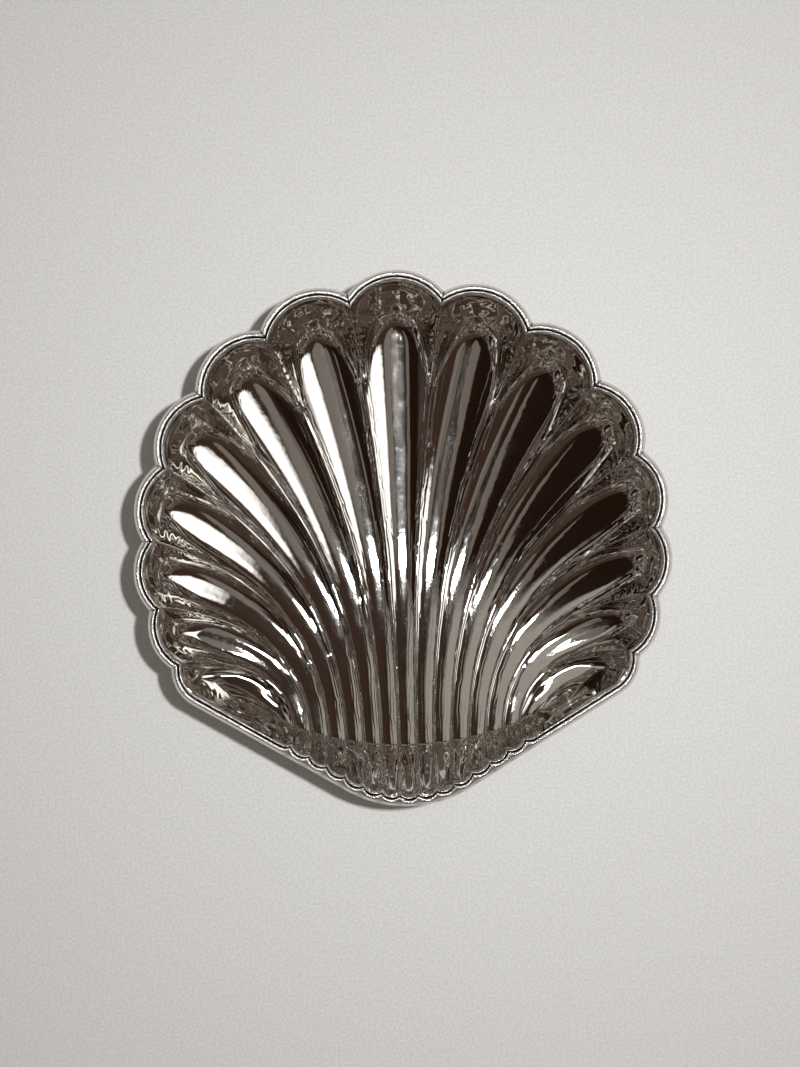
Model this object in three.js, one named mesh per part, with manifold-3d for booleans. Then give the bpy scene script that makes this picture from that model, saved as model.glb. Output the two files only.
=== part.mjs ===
import * as THREE from 'three';
import { mergeVertices } from 'three/addons/utils/BufferGeometryUtils.js';
import Module from 'manifold-3d';

// A scallop-shell dish: one struck and fluted sheet, a border wire mitred at every notch, three ball feet.
// Millimetres. +X is to the right of the fan, +Y runs from the hinge to the fan, +Z is up.
// While the pieces are drawn, the notches lie on a circle about the Z axis and the bowl's edge is at z = 0.

// Fan of flutes, in plan
const FLUTE_COUNT = 15;
const NOTCH_RADIUS = 59.4;
const FAN_ANGLE = 115.6;
const LOBE_NARROWING = 0.2;
const LOBE_NARROWING_EASE = 2.4;
const FRONT_LOBE_BULGE = 0.29;
const SIDE_LOBE_BULGE = 0.2;
const RIDGE_TURN = 0.77;
const RIDGE_START_PULL = 0.43;
const RIDGE_END_PULL = 0.36;

// Hinge side, in plan
const HINGE_FLUTE_PITCH = 4.27;
const HINGE_FLUTE_DEPTH = 1;
const SIDE_EDGE_INSET = 4.9;
const SIDE_EDGE_SLOPE = 30.7;
const HINGE_TIP_RADIUS = 26.9;
const CORNER_RADIUS = 7.5;

// Depths and walls of the bowl
const SHEET_THICKNESS = 1;
const RIDGE_DEPTH = 19;
const DEEPEST_FROM_HINGE = 44;
const HINGE_CENTRE_Y = -42.7;
const FLOOR_SLOPE = 0.17;
const FLOOR_TURN = 20;
const SIDE_RADIUS = 555;
const FRONT_WALL_REACH = 6;
const RIDGE_WALL_REACH = 18;
const RIDGE_WALL_EASE = 1.5;
const SIDE_WALL_REACH = 3.5;
const CORNER_WALL_REACH = 4;
const HINGE_CREASE_Y = -48.1;
const HINGE_CREASE_RADIUS = 77;
const SHORTEST_HINGE_WALL = 1;
const FRONT_WALL_ROUNDNESS = 3.2;
const RIDGE_WALL_ROUNDNESS = 1.7;
const SIDE_WALL_ROUNDNESS = 3;
const HINGE_WALL_ROUNDNESS = 1.3;

// Troughs, the section that the flutes take on the floor
const TROUGH_DEPTH_SHARE = 0.3;
const LAST_TROUGH_DEPTH_SHARE = 0.18;
const SIDE_WALL_FOOT_SHARE = 0.55;
const TROUGH_BOTTOM_SHARE = 0.5;
const TROUGH_BOTTOM_RISE = 0.08;
const TROUGH_TURN = 0.06;
const TROUGH_START = 0.5;
const HINGE_DEPTH_BLEND = 14;

// Border wire
const BORDER_WIDTH = 2.5;
const BORDER_HEIGHT = 1.5;
const BORDER_SETBACK = 0.15;
const BORDER_BEAD_WIDTH = 0.45;
const BORDER_GROOVE_DEPTH = 0.3;
const BORDER_EDGE_HEIGHT = 0.45;
const BORDER_BEAD_SIDE = 0.85;
const BORDER_CROWN_SIDE = 0.95;
const MITRE_GAP = 0.08;

// Feet
const BALL_RADIUS = 4.6;
const FOOT_FLAT_RADIUS = 1.4;
const FOOT_NECK_RADIUS = 2.9;
const FLOOR_CLEARANCE = 6.5;
const SEAT_GAP = 0.3;
const FRONT_FOOT_FLUTE = 2;
const FRONT_FOOT_SHARE = 0.74;
const HINGE_FOOT_SHARE = 0.22;
const SEAT_FLUTES = 3;

// Facets
const FLUTE_SEGMENTS = 8;
const FRONT_WALL_ROWS = 6;
const HINGE_WALL_ROWS = 4;
const FLOOR_ROWS = 8;
const BALL_SEGMENTS = 20;

const LAST_FLUTE = (FLUTE_COUNT - 1) / 2;
const LAST_NOTCH = LAST_FLUTE - 0.5;
const SIDE_EDGE = LAST_FLUTE + 0.5;

// The straight edges lie closer to the middle than the notches do, by a fixed inset.
const SIDE_EDGE_DISTANCE = NOTCH_RADIUS - SIDE_EDGE_INSET;

const SILVER = { color: 0xc9c5be, metalness: 1, roughness: 0.12 };
const BORDER_SILVER = { color: 0xd3d1cd, metalness: 1, roughness: 0.2 };

const wasm = await Module();
wasm.setup();

function radians(degrees) {
  return THREE.MathUtils.degToRad(degrees);
}

function plan(x, y) {
  return new THREE.Vector2(x, y);
}

function fromAxis(degrees) {
  return plan(Math.sin(radians(degrees)), Math.cos(radians(degrees)));
}

function mirrored(point) {
  return plan(-point.x, point.y);
}

// Places on the fan are counted in flutes from the axis: whole numbers are middles of flutes, halves ridges.
function fanAngle(flute) {
  const share = Math.abs(flute) / LAST_NOTCH;
  const narrowing = LOBE_NARROWING * (share - share ** LOBE_NARROWING_EASE);
  return Math.sign(flute) * FAN_ANGLE * (share + narrowing);
}

function notch(flute) {
  return fromAxis(fanAngle(flute)).multiplyScalar(NOTCH_RADIUS);
}

// How deep a flute is for its width, from the middle one to the sides.
function bulge(flute) {
  const share = Math.min(1, Math.abs(Math.round(flute)) / (LAST_FLUTE - 1));
  return THREE.MathUtils.lerp(FRONT_LOBE_BULGE, SIDE_LOBE_BULGE, share);
}

// Across is -1 and 1 on the ridges of a flute and 0 in its middle.
function flutePosition(flute) {
  const middle = THREE.MathUtils.clamp(Math.round(flute), -LAST_FLUTE, LAST_FLUTE);
  return { middle, across: THREE.MathUtils.clamp(2 * (flute - middle), -1, 1) };
}

// The section of a flute beside the edge: an arc of a circle, with its height and how steeply the sheet lies.
function arch(share, across) {
  const radius = (1 + 4 * share ** 2) / (4 * share);
  const drop = Math.sqrt(radius ** 2 - 1);
  const rise = Math.sqrt(radius ** 2 - across ** 2);
  const height = (rise - drop) / (radius - drop);
  const slope = (2 * share * across) / (rise * (radius - drop));
  return { height, stretch: Math.sqrt(1 + slope ** 2) };
}

// The section of a flute on the floor: a shallow round bottom between two steep flanks.
function trough(across) {
  const steepness = (1 - TROUGH_BOTTOM_RISE) / (1 - TROUGH_BOTTOM_SHARE);
  const fromMiddle = Math.abs(across);
  const bottom = 1 - TROUGH_BOTTOM_RISE * (fromMiddle / TROUGH_BOTTOM_SHARE) ** 2;
  const flank = steepness * (1 - fromMiddle);
  const apart = Math.hypot(bottom - flank, TROUGH_TURN);
  const height = Math.max(0, (bottom + flank - apart) / 2);
  const flankShare = (1 + (bottom - flank) / apart) / 2;
  const bottomSlope = (2 * TROUGH_BOTTOM_RISE * fromMiddle) / TROUGH_BOTTOM_SHARE ** 2;
  const slope = 2 * TROUGH_DEPTH_SHARE * THREE.MathUtils.lerp(bottomSlope, steepness, flankShare);
  return { height, stretch: Math.sqrt(1 + slope ** 2) };
}

function fluteSection(flute, onFloor) {
  const { across } = flutePosition(flute);
  const arc = arch(bulge(flute), across);
  const floor = trough(across);
  const height = THREE.MathUtils.lerp(arc.height, floor.height, onFloor);
  return { height, stretch: THREE.MathUtils.lerp(arc.stretch, floor.stretch, onFloor) };
}

// The straight edges beside the hinge and the round tip between them, moved out by an offset.
const SLOPE_SIN = Math.sin(radians(SIDE_EDGE_SLOPE));
const SLOPE_COS = Math.cos(radians(SIDE_EDGE_SLOPE));
const TIP_CENTRE_Y = -(SIDE_EDGE_DISTANCE - HINGE_TIP_RADIUS) / SLOPE_COS;

function sideOutward(side) {
  return plan(Math.sign(side) * SLOPE_SIN, -SLOPE_COS);
}

function hingeEdge(x, offset) {
  const radius = HINGE_TIP_RADIUS + offset;
  const onTip = Math.abs(x) < radius * SLOPE_SIN;
  const tipY = TIP_CENTRE_Y - Math.sqrt(Math.max(0, radius ** 2 - x ** 2));
  const sideY = -(SIDE_EDGE_DISTANCE + offset - SLOPE_SIN * Math.abs(x)) / SLOPE_COS;
  const point = plan(x, onTip ? tipY : sideY);
  const outward = onTip ? plan(x, tipY - TIP_CENTRE_Y).normalize() : sideOutward(x);
  return { point, outward };
}

function hingeStart(flute) {
  const inset = Math.min(1, SIDE_EDGE - Math.abs(flute)) * HINGE_FLUTE_DEPTH;
  return { ...hingeEdge(HINGE_FLUTE_PITCH * flute, -inset), inset };
}

// The bowl's inner edge at the hinge is wavy and the border's outer edge is smooth.
function hingeOutline(flute, offset) {
  const { point, outward, inset } = hingeStart(flute);
  const { middle, across } = flutePosition(flute);
  const beyondMiddle = Math.abs(middle) === LAST_FLUTE && across * middle > 0;
  const height = beyondMiddle ? 1 : arch(bulge(flute), across).height;
  const wave = inset - HINGE_FLUTE_DEPTH * (1 - height);
  const beyondSheet = (offset - SHEET_THICKNESS) / (BORDER_WIDTH - SHEET_THICKNESS);
  const smoothing = THREE.MathUtils.clamp(beyondSheet, 0, 1);
  return point.clone().addScaledVector(outward, THREE.MathUtils.lerp(wave, inset, smoothing) + offset);
}

// The lobes are arcs that stand on the chords between notches. The last one rounds into the straight edge.
function cornerArc() {
  const start = notch(LAST_NOTCH);
  const outward = sideOutward(1);
  const along = plan(-SLOPE_COS, -SLOPE_SIN);
  const inset = SIDE_EDGE_DISTANCE - CORNER_RADIUS - start.dot(outward);
  const run = Math.sqrt(Math.max(0, CORNER_RADIUS ** 2 - inset ** 2));
  const centre = start.clone().addScaledVector(outward, inset).addScaledVector(along, run);
  return { centre, radius: CORNER_RADIUS, end: centre.clone().addScaledVector(outward, CORNER_RADIUS) };
}

function lobeArc(flute) {
  if (Math.abs(flute) === LAST_FLUTE) {
    const corner = cornerArc();
    return flute > 0 ? corner : { ...corner, centre: mirrored(corner.centre), end: mirrored(corner.end) };
  }
  const from = notch(flute - 0.5);
  const to = notch(flute + 0.5);
  const half = from.distanceTo(to) / 2;
  const rise = 2 * half * bulge(flute);
  const radius = (half ** 2 + rise ** 2) / (2 * rise);
  const middle = from.clone().add(to).multiplyScalar(0.5);
  const outward = plan(from.y - to.y, to.x - from.x).normalize();
  return { centre: middle.addScaledVector(outward, rise - radius), radius };
}

// Where two neighbouring lobes meet, both moved out by an offset: the mitre of the border.
function mitre(ridge, offset) {
  const left = lobeArc(ridge - 0.5);
  const right = lobeArc(ridge + 0.5);
  const between = right.centre.clone().sub(left.centre);
  const apart = between.length();
  const leftRadius = left.radius + offset;
  const rightRadius = right.radius + offset;
  const along = (apart ** 2 + leftRadius ** 2 - rightRadius ** 2) / (2 * apart);
  const out = Math.sqrt(Math.max(0, leftRadius ** 2 - along ** 2));
  const unit = between.divideScalar(apart);
  return left.centre.clone().addScaledVector(unit, along).addScaledVector(plan(-unit.y, unit.x), out);
}

function lobeEnd(ridge, offset) {
  if (Math.abs(ridge) < SIDE_EDGE) {
    return mitre(ridge, offset);
  }
  const { end } = lobeArc(Math.sign(ridge) * LAST_FLUTE);
  return end.clone().addScaledVector(sideOutward(ridge), offset);
}

function lobePoint(middle, across, offset) {
  const { centre } = lobeArc(middle);
  const from = lobeEnd(middle - 0.5, offset).sub(centre);
  const to = lobeEnd(middle + 0.5, offset).sub(centre);
  const turn = Math.atan2(from.x * to.y - from.y * to.x, from.dot(to));
  const arcShare = 0.5 + Math.asin(across * Math.sin(turn / 2)) / turn;
  return from.rotateAround(plan(0, 0), turn * arcShare).add(centre);
}

function lobeOutline(flute, offset) {
  const { middle, across } = flutePosition(flute);
  return lobePoint(middle, across, offset);
}

// A path runs over the floor from the hinge to the lobe. It starts straight up the fan and turns outward.
function ridgePath(flute) {
  const start = hingeStart(flute).point;
  const end = notch(flute);
  const reach = start.distanceTo(end);
  const startPull = start.clone().add(plan(0, reach * RIDGE_START_PULL));
  const endPull = end.clone().addScaledVector(fromAxis(fanAngle(flute) * RIDGE_TURN), -reach * RIDGE_END_PULL);
  return new THREE.CubicBezierCurve(start, startPull, endPull, end);
}

function sidePath(side) {
  return new THREE.LineCurve(hingeStart(side * SIDE_EDGE).point, lobeEnd(side * SIDE_EDGE, 0));
}

function floorPath(flute) {
  const beyond = Math.abs(flute) - LAST_NOTCH;
  if (beyond <= 0) {
    return chordPath(flute);
  }
  const ridge = ridgePath(Math.sign(flute) * LAST_NOTCH);
  const side = sidePath(Math.sign(flute));
  const length = THREE.MathUtils.lerp(ridge.getLength(), side.getLength(), beyond);
  const at = (share) => ridge.getPointAt(share).lerp(side.getPointAt(share), beyond);
  const sideGap = (share) => (1 - beyond) * ridge.getPointAt(share).distanceTo(side.getPointAt(share));
  return { length, at, sideGap };
}

// Between two ridges a path keeps to the chord of the lobe, so that the arc of the flute stands on it.
function chordPath(flute) {
  const { middle, across } = flutePosition(flute);
  const left = ridgePath(Math.max(middle - 0.5, -LAST_NOTCH));
  const right = ridgePath(Math.min(middle + 0.5, LAST_NOTCH));
  const share = (1 + across) / 2;
  const length = THREE.MathUtils.lerp(left.getLength(), right.getLength(), share);
  const at = (along) => left.getPointAt(along).lerp(right.getPointAt(along), share);
  return { length, at, sideGap: () => Infinity };
}

function wallShare(reached, roundness) {
  const left = 1 - THREE.MathUtils.clamp(reached, 0, 1);
  return (1 - left ** roundness) ** (1 / roundness);
}

// The ridges rise evenly from the deepest place towards the lobes and the hinge, and slightly to both sides.
function floorDepth(point) {
  const fromDeepest = point.distanceTo(plan(0, HINGE_CENTRE_Y)) - DEEPEST_FROM_HINGE;
  const rise = FLOOR_SLOPE * (Math.hypot(fromDeepest, FLOOR_TURN) - FLOOR_TURN);
  return RIDGE_DEPTH - rise - point.x ** 2 / (2 * SIDE_RADIUS);
}

// The front wall is short and steep in the middle of a flute and long on its ridges.
function frontWall(flute) {
  const toRidge = Math.abs(flutePosition(flute).across) ** RIDGE_WALL_EASE;
  const reach = THREE.MathUtils.lerp(FRONT_WALL_REACH, RIDGE_WALL_REACH, toRidge);
  const roundness = THREE.MathUtils.lerp(FRONT_WALL_ROUNDNESS, RIDGE_WALL_ROUNDNESS, toRidge);
  return { reach, roundness };
}

// How far the hinge wall runs in plan before it turns into the floor. It eases off in the last flutes.
function hingeWallReach(flute) {
  const { x, y } = hingeStart(flute).point;
  const crease = HINGE_CREASE_Y + HINGE_CREASE_RADIUS - Math.sqrt(HINGE_CREASE_RADIUS ** 2 - x ** 2);
  const easing = Math.max(0, Math.abs(flute) - LAST_NOTCH) * CORNER_WALL_REACH;
  return Math.max(SHORTEST_HINGE_WALL, crease - y) + easing;
}

// Rows lie closer together where a wall turns, at equal steps of its turn.
function turnSteps(rows, roundness) {
  const turns = Array.from({ length: rows + 1 }, (_, row) => (row / rows) * (Math.PI / 2));
  return turns.map((turn) => 1 - Math.cos(turn) ** (2 / roundness));
}

function rowDistances(flute, length) {
  const { reach, roundness } = frontWall(flute);
  const hingeSteps = turnSteps(HINGE_WALL_ROWS, HINGE_WALL_ROUNDNESS);
  const hingeRows = hingeSteps.map((step) => step * hingeWallReach(flute));
  const frontRows = turnSteps(FRONT_WALL_ROWS, roundness).map((step) => length - step * reach);
  const floorStart = hingeRows.at(-1);
  const floorEnd = frontRows.at(-1);
  const floor = [];
  for (let row = 1; row < FLOOR_ROWS; row += 1) {
    floor.push(THREE.MathUtils.lerp(floorStart, floorEnd, row / FLOOR_ROWS));
  }
  return [...hingeRows, ...floor, ...frontRows.reverse()];
}

// The smooth bowl that carries the ridges, one column from the hinge to the lobe. Each row has its point,
// how far it has come down the walls and how close it is to the hinge edge, both from 0 to 1.
function baseColumn(flute) {
  const path = floorPath(flute);
  const { reach, roundness } = frontWall(flute);
  return rowDistances(flute, path.length).map((distance) => {
    const share = THREE.MathUtils.clamp(distance / path.length, 0, 1);
    const place = path.at(share);
    const front = wallShare((path.length - distance) / reach, roundness);
    const hinge = wallShare(distance / hingeWallReach(flute), HINGE_WALL_ROUNDNESS);
    const side = wallShare(path.sideGap(share) / SIDE_WALL_REACH, SIDE_WALL_ROUNDNESS);
    const point = raised(place, -floorDepth(place) * front * hinge * side);
    const onFloor = THREE.MathUtils.smoothstep(Math.min(front, hinge), TROUGH_START, 1);
    return { point, onFloor, atHinge: 1 - THREE.MathUtils.smoothstep(distance, 0, HINGE_DEPTH_BLEND) };
  });
}

function acrossSteps() {
  return Array.from({ length: FLUTE_SEGMENTS + 1 }, (_, segment) => (2 * segment) / FLUTE_SEGMENTS - 1);
}

function columnFlutes() {
  const flutes = [-SIDE_EDGE];
  for (let middle = -LAST_FLUTE; middle <= LAST_FLUTE; middle += 1) {
    flutes.push(...acrossSteps().slice(1).map((across) => middle + across / 2));
  }
  return flutes;
}

const COLUMNS = columnFlutes();
const BASE_COLUMNS = COLUMNS.map(baseColumn);
const BASE = BASE_COLUMNS.map((column) => column.map(({ point }) => point));
const LAST_COLUMN = COLUMNS.length - 1;
const LAST_ROW = BASE[0].length - 1;

function baseNormal(column, row) {
  const right = BASE[Math.min(column + 1, LAST_COLUMN)][row];
  const left = BASE[Math.max(column - 1, 0)][row];
  const ahead = BASE[column][Math.min(row + 1, LAST_ROW)];
  const behind = BASE[column][Math.max(row - 1, 0)];
  const across = right.clone().sub(left);
  const along = ahead.clone().sub(behind);
  return along.cross(across).normalize();
}

// Each flute is as wide as its two ridges are apart, in plan, in the same row.
function fluteWidth(column, row) {
  const first = Math.min(Math.floor(column / FLUTE_SEGMENTS), FLUTE_COUNT - 1) * FLUTE_SEGMENTS;
  const left = BASE[first][row];
  const right = BASE[first + FLUTE_SEGMENTS][row];
  return Math.hypot(right.x - left.x, right.y - left.y);
}

// A flute is pressed along the normal. The outer half of the last one has the straight wall for its side,
// so there it is pressed along that wall only, and keeps part of its depth at the wall's foot.
function flutePress(column, row) {
  const flute = COLUMNS[column];
  const { onFloor, atHinge } = BASE_COLUMNS[column][row];
  const { middle, across } = flutePosition(flute);
  const floorShare = Math.abs(middle) < LAST_FLUTE ? TROUGH_DEPTH_SHARE : LAST_TROUGH_DEPTH_SHARE;
  const share = THREE.MathUtils.lerp(bulge(flute), floorShare, onFloor);
  const depth = THREE.MathUtils.lerp(fluteWidth(column, row) * share, HINGE_FLUTE_DEPTH, atHinge);
  const normal = baseNormal(column, row);
  if (Math.abs(middle) < LAST_FLUTE || across * middle <= 0) {
    return normal.multiplyScalar(depth * fluteSection(flute, onFloor).height);
  }
  const wall = raised(sideOutward(flute), 0);
  const height = THREE.MathUtils.lerp(1, SIDE_WALL_FOOT_SHARE, across ** 2);
  return normal.addScaledVector(wall, -normal.dot(wall)).multiplyScalar(depth * height);
}

function raised(point, z) {
  return new THREE.Vector3(point.x, point.y, z);
}

// A skin is the base pressed outward by the flutes and by a thickness. Its edges lie flat at z = 0.
function skinPoint(column, row, thickness) {
  const flute = COLUMNS[column];
  if (row === LAST_ROW) {
    return raised(lobeOutline(flute, thickness), 0);
  }
  if (row === 0) {
    return raised(hingeOutline(flute, thickness), 0);
  }
  const base = BASE[column][row].clone();
  if (Math.abs(flute) === SIDE_EDGE) {
    return base.add(raised(sideOutward(flute).multiplyScalar(thickness), 0));
  }
  const { stretch } = fluteSection(flute, BASE_COLUMNS[column][row].onFloor);
  return base.add(flutePress(column, row)).addScaledVector(baseNormal(column, row), thickness * stretch);
}

function skin(thickness) {
  return COLUMNS.map((_, column) => BASE[column].map((__, row) => skinPoint(column, row, thickness)));
}

// A closed body between two grids of points, the upper one facing up.
function layeredGeometry(upper, lower) {
  const columns = upper.length;
  const rows = upper[0].length;
  const positions = [...upper, ...lower].flat().flatMap((point) => [point.x, point.y, point.z]);
  const top = (column, row) => column * rows + row;
  const bottom = (column, row) => (columns + column) * rows + row;
  const indices = [];
  const quad = (a, b, c, d) => indices.push(a, b, c, a, c, d);
  for (let column = 0; column < columns - 1; column += 1) {
    for (let row = 0; row < rows - 1; row += 1) {
      quad(top(column, row), top(column + 1, row), top(column + 1, row + 1), top(column, row + 1));
      quad(bottom(column, row + 1), bottom(column + 1, row + 1), bottom(column + 1, row), bottom(column, row));
    }
    quad(bottom(column, 0), bottom(column + 1, 0), top(column + 1, 0), top(column, 0));
    const end = rows - 1;
    quad(top(column, end), top(column + 1, end), bottom(column + 1, end), bottom(column, end));
  }
  const last = columns - 1;
  for (let row = 0; row < rows - 1; row += 1) {
    quad(bottom(0, row + 1), bottom(0, row), top(0, row), top(0, row + 1));
    quad(top(last, row + 1), top(last, row), bottom(last, row), bottom(last, row + 1));
  }
  const geometry = new THREE.BufferGeometry();
  geometry.setAttribute('position', new THREE.Float32BufferAttribute(positions, 3));
  geometry.setIndex(indices);
  return geometry;
}

function silverMesh(name, geometry, finish) {
  geometry.computeVertexNormals();
  const mesh = new THREE.Mesh(geometry, new THREE.MeshStandardMaterial(finish));
  mesh.name = name;
  return mesh;
}

const INNER_SKIN = skin(0);
const OUTER_SKIN = skin(SHEET_THICKNESS);

function bowl() {
  return silverMesh('fluted_bowl', layeredGeometry(INNER_SKIN, OUTER_SKIN), SILVER);
}

// The border's section, from its flat underside round by the inner bead, the groove, the crown and the bevel.
function borderSection() {
  const beadTop = BORDER_HEIGHT - BORDER_GROOVE_DEPTH;
  const grooveAt = BORDER_SETBACK + BORDER_BEAD_WIDTH;
  const crownAt = (grooveAt + BORDER_WIDTH) / 2;
  return [
    plan(BORDER_SETBACK, 0),
    plan(BORDER_SETBACK, beadTop * BORDER_BEAD_SIDE),
    plan(BORDER_SETBACK + BORDER_BEAD_WIDTH * 0.5, beadTop),
    plan(grooveAt, beadTop - BORDER_GROOVE_DEPTH),
    plan(grooveAt + BORDER_BEAD_WIDTH * 0.5, BORDER_HEIGHT * BORDER_CROWN_SIDE),
    plan(crownAt, BORDER_HEIGHT),
    plan(BORDER_WIDTH, BORDER_EDGE_HEIGHT),
    plan(BORDER_WIDTH - BORDER_BEAD_WIDTH * 0.5, 0),
  ];
}

// Sweeps the border's section past a row of stations. A station gives the plan point at an offset.
function sweptBorder(name, stations) {
  const section = borderSection();
  const size = section.length;
  const positions = stations.flatMap((station) =>
    section.flatMap(({ x, y }) => {
      const point = station(x);
      return [point.x, point.y, y];
    }),
  );
  const indices = [];
  for (let station = 0; station < stations.length - 1; station += 1) {
    for (let side = 0; side < size; side += 1) {
      const here = station * size + side;
      const next = station * size + ((side + 1) % size);
      indices.push(here, next + size, next, here, here + size, next + size);
    }
  }
  const end = (stations.length - 1) * size;
  for (let side = 1; side < size - 1; side += 1) {
    indices.push(0, side, side + 1);
    indices.push(end, end + side + 1, end + side);
  }
  const geometry = new THREE.BufferGeometry();
  geometry.setAttribute('position', new THREE.Float32BufferAttribute(positions, 3));
  geometry.setIndex(indices);
  return silverMesh(name, geometry, BORDER_SILVER);
}

// The border of a lobe stops short of its mitres by half of the gap that the solder fills.
function lobeStations(flute) {
  const chord = lobeEnd(flute - 0.5, 0).distanceTo(lobeEnd(flute + 0.5, 0));
  const kept = 1 - MITRE_GAP / chord;
  return acrossSteps().map((across) => (offset) => lobePoint(flute, across * kept, offset));
}

function lobeBorders() {
  const borders = [];
  for (let flute = -LAST_FLUTE + 1; flute < LAST_FLUTE; flute += 1) {
    const side = flute < 0 ? 'left' : 'right';
    const name = flute === 0 ? 'lobe_border_middle' : `lobe_border_${side}_${Math.abs(flute)}`;
    borders.push(sweptBorder(name, lobeStations(flute)));
  }
  return borders;
}

// One length runs from the last notch on the right round the hinge to the last notch on the left.
function hingeBorder() {
  const rightLobe = lobeStations(LAST_FLUTE);
  const leftLobe = lobeStations(-LAST_FLUTE);
  const hinge = COLUMNS.map((place) => (offset) => hingeOutline(place, offset)).reverse();
  return sweptBorder('hinge_border', [...rightLobe, ...hinge, ...leftLobe]);
}

function solidOf(geometry) {
  const bare = geometry.index ? geometry.clone() : mergeVertices(geometry.clone());
  bare.deleteAttribute('normal');
  bare.deleteAttribute('uv');
  const merged = mergeVertices(bare, 1e-4);
  const vertProperties = new Float32Array(merged.attributes.position.array);
  const triVerts = new Uint32Array(merged.index.array);
  return new wasm.Manifold(new wasm.Mesh({ numProp: 3, vertProperties, triVerts }));
}

function geometryOf(solid) {
  const { vertProperties, triVerts } = solid.getMesh();
  const geometry = new THREE.BufferGeometry();
  geometry.setAttribute('position', new THREE.BufferAttribute(vertProperties, 3));
  geometry.setIndex(new THREE.BufferAttribute(triVerts, 1));
  return geometry;
}

const SEAT_SKIN = skin(SHEET_THICKNESS + SEAT_GAP);
const LOWEST = Math.min(...OUTER_SKIN.flat().map((point) => point.z));
const TABLE_Z = LOWEST - FLOOR_CLEARANCE;

// Everything above the underside of the bowl, within the floor of the flutes about a foot.
function seatSpace(flute) {
  const firstColumn = (Math.round(flute) - SEAT_FLUTES / 2 + SIDE_EDGE) * FLUTE_SEGMENTS;
  const lastColumn = firstColumn + SEAT_FLUTES * FLUTE_SEGMENTS;
  const floorRows = [HINGE_WALL_ROWS, LAST_ROW - FRONT_WALL_ROWS + 1];
  const under = SEAT_SKIN.slice(firstColumn, lastColumn + 1).map((column) => column.slice(...floorRows));
  const above = under.map((column) => column.map((point) => raised(point, 0)));
  return solidOf(layeredGeometry(above, under));
}

function footProfile() {
  const centre = TABLE_Z + Math.sqrt(BALL_RADIUS ** 2 - FOOT_FLAT_RADIUS ** 2);
  const from = Math.asin(FOOT_FLAT_RADIUS / BALL_RADIUS);
  const to = Math.PI - Math.asin(FOOT_NECK_RADIUS / BALL_RADIUS);
  const profile = [plan(0, TABLE_Z)];
  const steps = BALL_SEGMENTS / 2;
  for (let step = 0; step <= steps; step += 1) {
    const turn = THREE.MathUtils.lerp(from, to, step / steps);
    profile.push(plan(BALL_RADIUS * Math.sin(turn), centre - BALL_RADIUS * Math.cos(turn)));
  }
  profile.push(plan(FOOT_NECK_RADIUS, -RIDGE_DEPTH / 2), plan(0, -RIDGE_DEPTH / 2));
  return profile;
}

function foot(name, flute, share) {
  const place = floorPath(flute).at(share);
  const geometry = new THREE.LatheGeometry(footProfile(), BALL_SEGMENTS);
  geometry.rotateX(Math.PI / 2);
  geometry.translate(place.x, place.y, 0);
  return silverMesh(name, geometryOf(solidOf(geometry).subtract(seatSpace(flute))), SILVER);
}

function feet() {
  return [
    foot('front_foot_left', -FRONT_FOOT_FLUTE, FRONT_FOOT_SHARE),
    foot('front_foot_right', FRONT_FOOT_FLUTE, FRONT_FOOT_SHARE),
    foot('hinge_foot', 0, HINGE_FOOT_SHARE),
  ];
}

// The finished dish stands on z = 0, with the middle of its plan at the origin.
function dish() {
  const front = lobeOutline(0, BORDER_WIDTH).y;
  const back = hingeOutline(0, BORDER_WIDTH).y;
  const group = new THREE.Group();
  group.add(bowl(), ...lobeBorders(), hingeBorder(), ...feet());
  group.position.set(0, -(front + back) / 2, -TABLE_Z);
  return group;
}

export default dish();
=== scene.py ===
"""Dresses a silver scallop-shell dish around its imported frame, on a pale table in a plain studio."""

import logging
import math
from dataclasses import dataclass, field
from enum import Enum

import bmesh
import bpy
import numpy as np
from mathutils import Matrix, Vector
from mathutils.bvhtree import BVHTree


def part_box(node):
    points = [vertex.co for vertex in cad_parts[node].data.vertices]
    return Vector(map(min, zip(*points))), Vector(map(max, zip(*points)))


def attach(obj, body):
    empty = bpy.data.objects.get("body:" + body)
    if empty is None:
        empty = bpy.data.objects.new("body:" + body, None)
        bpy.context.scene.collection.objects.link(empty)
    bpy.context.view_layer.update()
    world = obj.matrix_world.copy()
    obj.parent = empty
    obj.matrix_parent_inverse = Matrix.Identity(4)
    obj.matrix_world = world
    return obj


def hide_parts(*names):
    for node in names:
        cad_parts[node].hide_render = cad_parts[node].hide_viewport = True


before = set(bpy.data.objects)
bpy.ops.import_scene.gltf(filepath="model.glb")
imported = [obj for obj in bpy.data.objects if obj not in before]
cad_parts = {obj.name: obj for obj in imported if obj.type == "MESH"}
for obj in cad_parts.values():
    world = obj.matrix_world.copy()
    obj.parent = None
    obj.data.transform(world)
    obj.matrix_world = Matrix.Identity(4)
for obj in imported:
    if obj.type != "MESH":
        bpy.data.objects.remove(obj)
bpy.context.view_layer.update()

MM = 0.001
LOG = logging.getLogger("shell_dish")
Socket = bpy.types.NodeSocket


class Side(Enum):
    """A side of the dish, seen from above with the hinge nearest."""

    LEFT = -1
    RIGHT = 1


class Mark(Enum):
    """What a mesh tells its finish about each of its vertices, under the name of its attribute."""

    SHEET = "sheet_place"
    WIRE = "wire_place"


def from_axis(degrees: float | np.ndarray) -> np.ndarray:
    """A plan direction, turned clockwise from the axis that runs from the hinge to the fan.

    Args:
        degrees: The turn, one value or an array of them.

    Returns:
        The unit vectors, with x and y in the last place.
    """
    turn = np.radians(degrees)
    return np.stack([np.sin(turn), np.cos(turn)], axis=-1)


def unit(vectors: np.ndarray) -> np.ndarray:
    """The vectors at length one."""
    return vectors / np.linalg.norm(vectors, axis=-1, keepdims=True)


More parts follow.
